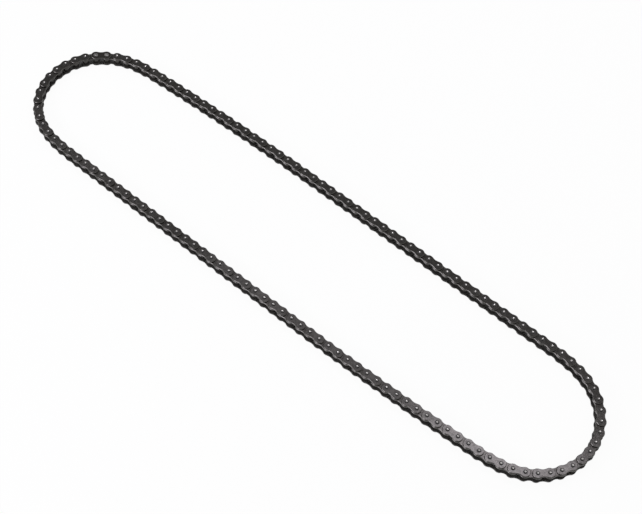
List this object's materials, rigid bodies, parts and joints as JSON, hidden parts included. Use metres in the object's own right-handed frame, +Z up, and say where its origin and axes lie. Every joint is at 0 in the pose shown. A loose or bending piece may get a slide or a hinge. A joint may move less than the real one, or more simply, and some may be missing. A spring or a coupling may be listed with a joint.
{
  "type": "roller drive chain",
  "caption": "Closed loop of single-strand roller drive chain lying on its side, with riveted pins, waisted plates, turning rollers and a riveted connecting link.",
  "frame": {"origin": "centre of the loop seen from above, at the level of the lower pin ends that it rests on", "axes": "+X along the two straight runs, +Z up along every pin"},
  "size_m": [0.767, 0.17, 0.0147],
  "materials": {
    "outer_plate": "oiled dark blued steel",
    "inner_plate": "oiled dark blued steel",
    "connecting_plate": "smooth oiled dark steel",
    "pin": "ground steel pin with riveted ends, oiled",
    "connecting_pin": "riveted steel pin, dull",
    "bush": "case-hardened steel, oiled",
    "roller": "oiled case-hardened steel"
  },
  "bodies": {
    "connecting_link": {"connecting_link_lower_plate": "connecting_plate", "connecting_link_upper_plate": "connecting_plate", "connecting_link_pins": "connecting_pin"},
    "back_entry_inner_link": {"back_entry_inner_link": "inner_plate"},
    "back_entry_inner_link_roller_a": {"back_entry_inner_link_roller_a": "roller"},
    "back_entry_inner_link_roller_b": {"back_entry_inner_link_roller_b": "roller"},
    "back_entry_outer_link_b": {"back_entry_outer_link_b": "outer_plate"},
    "back_run_a": {"back_run_a_outer_plates": "outer_plate", "back_run_a_pins": "pin", "back_run_a_inner_plates": "inner_plate", "back_run_a_bushes": "bush", "back_run_a_rollers": "roller"},
    "back_middle_outer_link_a": {"back_middle_outer_link_a": "outer_plate"},
    "back_middle_inner_link": {"back_middle_inner_link": "inner_plate", "back_middle_inner_link_rollers": "roller"},
    "back_middle_outer_link_b": {"back_middle_outer_link_b": "outer_plate"},
    "back_run_b": {"back_run_b_outer_plates": "outer_plate", "back_run_b_pins": "pin", "back_run_b_inner_plates": "inner_plate", "back_run_b_bushes": "bush", "back_run_b_rollers": "roller"},
    "back_exit_inner_link_a": {"back_exit_inner_link_a": "inner_plate", "back_exit_inner_link_a_rollers": "roller"},
    "back_exit_outer_link": {"back_exit_outer_link": "outer_plate"},
    "back_exit_inner_link_b": {"back_exit_inner_link_b": "inner_plate", "back_exit_inner_link_b_rollers": "roller"},
    "right_bend": {"right_bend_outer_plates": "outer_plate", "right_bend_pins": "pin", "right_bend_inner_plates": "inner_plate", "right_bend_bushes": "bush", "right_bend_rollers": "roller"},
    "front_entry_outer_link_a": {"front_entry_outer_link_a": "outer_plate"},
    "front_entry_inner_link": {"front_entry_inner_link": "inner_plate", "front_entry_inner_link_rollers": "roller"},
    "front_entry_outer_link_b": {"front_entry_outer_link_b": "outer_plate"},
    "front_run_a": {"front_run_a_outer_plates": "outer_plate", "front_run_a_pins": "pin", "front_run_a_inner_plates": "inner_plate", "front_run_a_bushes": "bush", "front_run_a_rollers": "roller"},
    "front_middle_outer_link_a": {"front_middle_outer_link_a": "outer_plate"},
    "front_middle_inner_link": {"front_middle_inner_link": "inner_plate"},
    "front_middle_inner_link_roller_a": {"front_middle_inner_link_roller_a": "roller"},
    "front_middle_inner_link_roller_b": {"front_middle_inner_link_roller_b": "roller"},
    "front_middle_outer_link_b": {"front_middle_outer_link_b": "outer_plate"},
    "front_run_b": {"front_run_b_outer_plates": "outer_plate", "front_run_b_pins": "pin", "front_run_b_inner_plates": "inner_plate", "front_run_b_bushes": "bush", "front_run_b_rollers": "roller"},
    "front_exit_inner_link_a": {"front_exit_inner_link_a": "inner_plate", "front_exit_inner_link_a_rollers": "roller"},
    "front_exit_outer_link": {"front_exit_outer_link": "outer_plate"},
    "front_exit_inner_link_b": {"front_exit_inner_link_b": "inner_plate", "front_exit_inner_link_b_rollers": "roller"},
    "left_bend": {"left_bend_outer_plates": "outer_plate", "left_bend_pins": "pin", "left_bend_inner_plates": "inner_plate", "left_bend_bushes": "bush", "left_bend_rollers": "roller"}
  },
  "joints": [
    {"name": "front_entry_outer_link_a_hinge", "type": "hinge", "parent": "right_bend", "child": "front_entry_outer_link_a", "pos_m": [0.35983, -0.04361, 0.00735], "axis": [0, 0, 1], "range_deg": [-15, 15]},
    {"name": "front_entry_inner_link_hinge", "type": "hinge", "parent": "front_entry_outer_link_a", "child": "front_entry_inner_link", "pos_m": [0.35069, -0.05242, 0.00735], "axis": [0, 0, 1], "range_deg": [-15, 15]},
    {"name": "front_entry_outer_link_b_hinge", "type": "hinge", "parent": "front_entry_inner_link", "child": "front_entry_outer_link_b", "pos_m": [0.34014, -0.0595, 0.00735], "axis": [0, 0, 1], "range_deg": [-4.5, 22]},
    {"name": "front_run_a_hinge", "type": "hinge", "parent": "front_entry_outer_link_b", "child": "front_run_a", "pos_m": [0.32852, -0.06462, 0.00735], "axis": [0, 0, 1], "range_deg": [-4.5, 22]},
    {"name": "front_middle_outer_link_a_hinge", "type": "hinge", "parent": "front_run_a", "child": "front_middle_outer_link_a", "pos_m": [0.01191, -0.07908, 0.00735], "axis": [0, 0, 1], "range_deg": [-22, 4.5]},
    {"name": "front_middle_inner_link_hinge", "type": "hinge", "parent": "front_middle_outer_link_a", "child": "front_middle_inner_link", "pos_m": [-0.00079, -0.07908, 0.00735], "axis": [0, 0, 1], "range_deg": [-22, 4.5]},
    {"name": "front_middle_outer_link_b_hinge", "type": "hinge", "parent": "front_middle_inner_link", "child": "front_middle_outer_link_b", "pos_m": [-0.01349, -0.07908, 0.00735], "axis": [0, 0, 1], "range_deg": [-22, 4.5]},
    {"name": "front_run_b_hinge", "type": "hinge", "parent": "front_middle_outer_link_b", "child": "front_run_b", "pos_m": [-0.02619, -0.07908, 0.00735], "axis": [0, 0, 1], "range_deg": [-22, 4.5]},
    {"name": "front_exit_inner_link_a_hinge", "type": "hinge", "parent": "front_run_b", "child": "front_exit_inner_link_a", "pos_m": [-0.30554, -0.07759, 0.00735], "axis": [0, 0, 1], "range_deg": [-4.5, 22]},
    {"name": "front_exit_outer_link_hinge", "type": "hinge", "parent": "front_exit_inner_link_a", "child": "front_exit_outer_link", "pos_m": [-0.31804, -0.07537, 0.00735], "axis": [0, 0, 1], "range_deg": [-4.5, 22]},
    {"name": "front_exit_inner_link_b_hinge", "type": "hinge", "parent": "front_exit_outer_link", "child": "front_exit_inner_link_b", "pos_m": [-0.3302, -0.0717, 0.00735], "axis": [0, 0, 1], "range_deg": [-15, 15]},
    {"name": "left_bend_hinge", "type": "hinge", "parent": "front_exit_inner_link_b", "child": "left_bend", "pos_m": [-0.34169, -0.0663, 0.00735], "axis": [0, 0, 1], "range_deg": [-15, 15]},
    {"name": "back_exit_inner_link_b_hinge", "type": "hinge", "parent": "right_bend", "child": "back_exit_inner_link_b", "pos_m": [0.34169, 0.0663, 0.00735], "axis": [0, 0, 1], "range_deg": [-15, 15]},
    {"name": "back_exit_outer_link_hinge", "type": "hinge", "parent": "back_exit_inner_link_b", "child": "back_exit_outer_link", "pos_m": [0.3302, 0.0717, 0.00735], "axis": [0, 0, 1], "range_deg": [-15, 15]},
    {"name": "back_exit_inner_link_a_hinge", "type": "hinge", "parent": "back_exit_outer_link", "child": "back_exit_inner_link_a", "pos_m": [0.31804, 0.07537, 0.00735], "axis": [0, 0, 1], "range_deg": [-22, 4.5]},
    {"name": "back_run_b_hinge", "type": "hinge", "parent": "back_exit_inner_link_a", "child": "back_run_b", "pos_m": [0.30554, 0.07759, 0.00735], "axis": [0, 0, 1], "range_deg": [-22, 4.5]},
    {"name": "back_middle_outer_link_b_hinge", "type": "hinge", "parent": "back_run_b", "child": "back_middle_outer_link_b", "pos_m": [0.02619, 0.07908, 0.00735], "axis": [0, 0, 1], "range_deg": [-4.5, 22]},
    {"name": "back_middle_inner_link_hinge", "type": "hinge", "parent": "back_middle_outer_link_b", "child": "back_middle_inner_link", "pos_m": [0.01349, 0.07908, 0.00735], "axis": [0, 0, 1], "range_deg": [-4.5, 22]},
    {"name": "back_middle_outer_link_a_hinge", "type": "hinge", "parent": "back_middle_inner_link", "child": "back_middle_outer_link_a", "pos_m": [0.00079, 0.07908, 0.00735], "axis": [0, 0, 1], "range_deg": [-4.5, 22]},
    {"name": "back_run_a_hinge", "type": "hinge", "parent": "back_middle_outer_link_a", "child": "back_run_a", "pos_m": [-0.01191, 0.07908, 0.00735], "axis": [0, 0, 1], "range_deg": [-4.5, 22]},
    {"name": "back_entry_outer_link_b_hinge", "type": "hinge", "parent": "back_run_a", "child": "back_entry_outer_link_b", "pos_m": [-0.32852, 0.06462, 0.00735], "axis": [0, 0, 1], "range_deg": [-22, 4.5]},
    {"name": "back_entry_inner_link_hinge", "type": "hinge", "parent": "back_entry_outer_link_b", "child": "back_entry_inner_link", "pos_m": [-0.34014, 0.0595, 0.00735], "axis": [0, 0, 1], "range_deg": [-22, 4.5]},
    {"name": "connecting_link_hinge", "type": "hinge", "parent": "back_entry_inner_link", "child": "connecting_link", "pos_m": [-0.35069, 0.05242, 0.00735], "axis": [0, 0, 1], "range_deg": [-15, 15]},
    {"name": "back_entry_inner_link_roller_a_spin", "type": "hinge", "parent": "back_entry_inner_link", "child": "back_entry_inner_link_roller_a", "pos_m": [-0.35069, 0.05242, 0.00735], "axis": [0, 0, 1], "continuous": true},
    {"name": "back_entry_inner_link_roller_b_spin", "type": "hinge", "parent": "back_entry_inner_link", "child": "back_entry_inner_link_roller_b", "pos_m": [-0.34014, 0.0595, 0.00735], "axis": [0, 0, 1], "continuous": true},
    {"name": "front_middle_inner_link_roller_a_spin", "type": "hinge", "parent": "front_middle_inner_link", "child": "front_middle_inner_link_roller_a", "pos_m": [-0.00079, -0.07908, 0.00735], "axis": [0, 0, 1], "continuous": true},
    {"name": "front_middle_inner_link_roller_b_spin", "type": "hinge", "parent": "front_middle_inner_link", "child": "front_middle_inner_link_roller_b", "pos_m": [-0.01349, -0.07908, 0.00735], "axis": [0, 0, 1], "continuous": true}
  ],
  "couplings": [
    {"joint": "front_entry_outer_link_a_hinge", "follows": "left_bend_hinge", "ratio": -1},
    {"joint": "back_exit_inner_link_b_hinge", "follows": "left_bend_hinge", "ratio": -1},
    {"joint": "front_entry_inner_link_hinge", "follows": "front_exit_inner_link_b_hinge", "ratio": -1},
    {"joint": "back_exit_outer_link_hinge", "follows": "front_exit_inner_link_b_hinge", "ratio": -1},
    {"joint": "connecting_link_hinge", "follows": "front_exit_inner_link_b_hinge", "ratio": 1},
    {"joint": "front_middle_outer_link_a_hinge", "follows": "front_entry_outer_link_b_hinge", "ratio": -1},
    {"joint": "front_run_b_hinge", "follows": "front_entry_outer_link_b_hinge", "ratio": -1},
    {"joint": "front_exit_outer_link_hinge", "follows": "front_entry_outer_link_b_hinge", "ratio": 1},
    {"joint": "back_exit_inner_link_a_hinge", "follows": "front_entry_outer_link_b_hinge", "ratio": -1},
    {"joint": "back_middle_outer_link_b_hinge", "follows": "front_entry_outer_link_b_hinge", "ratio": 1},
    {"joint": "back_run_a_hinge", "follows": "front_entry_outer_link_b_hinge", "ratio": 1},
    {"joint": "back_entry_inner_link_hinge", "follows": "front_entry_outer_link_b_hinge", "ratio": -1},
    {"joint": "front_run_a_hinge", "follows": "back_entry_outer_link_b_hinge", "ratio": -1},
    {"joint": "front_middle_inner_link_hinge", "follows": "back_entry_outer_link_b_hinge", "ratio": 1},
    {"joint": "front_middle_outer_link_b_hinge", "follows": "back_entry_outer_link_b_hinge", "ratio": 1},
    {"joint": "front_exit_inner_link_a_hinge", "follows": "back_entry_outer_link_b_hinge", "ratio": -1},
    {"joint": "back_run_b_hinge", "follows": "back_entry_outer_link_b_hinge", "ratio": 1},
    {"joint": "back_middle_inner_link_hinge", "follows": "back_entry_outer_link_b_hinge", "ratio": -1},
    {"joint": "back_middle_outer_link_a_hinge", "follows": "back_entry_outer_link_b_hinge", "ratio": -1}
  ]
}
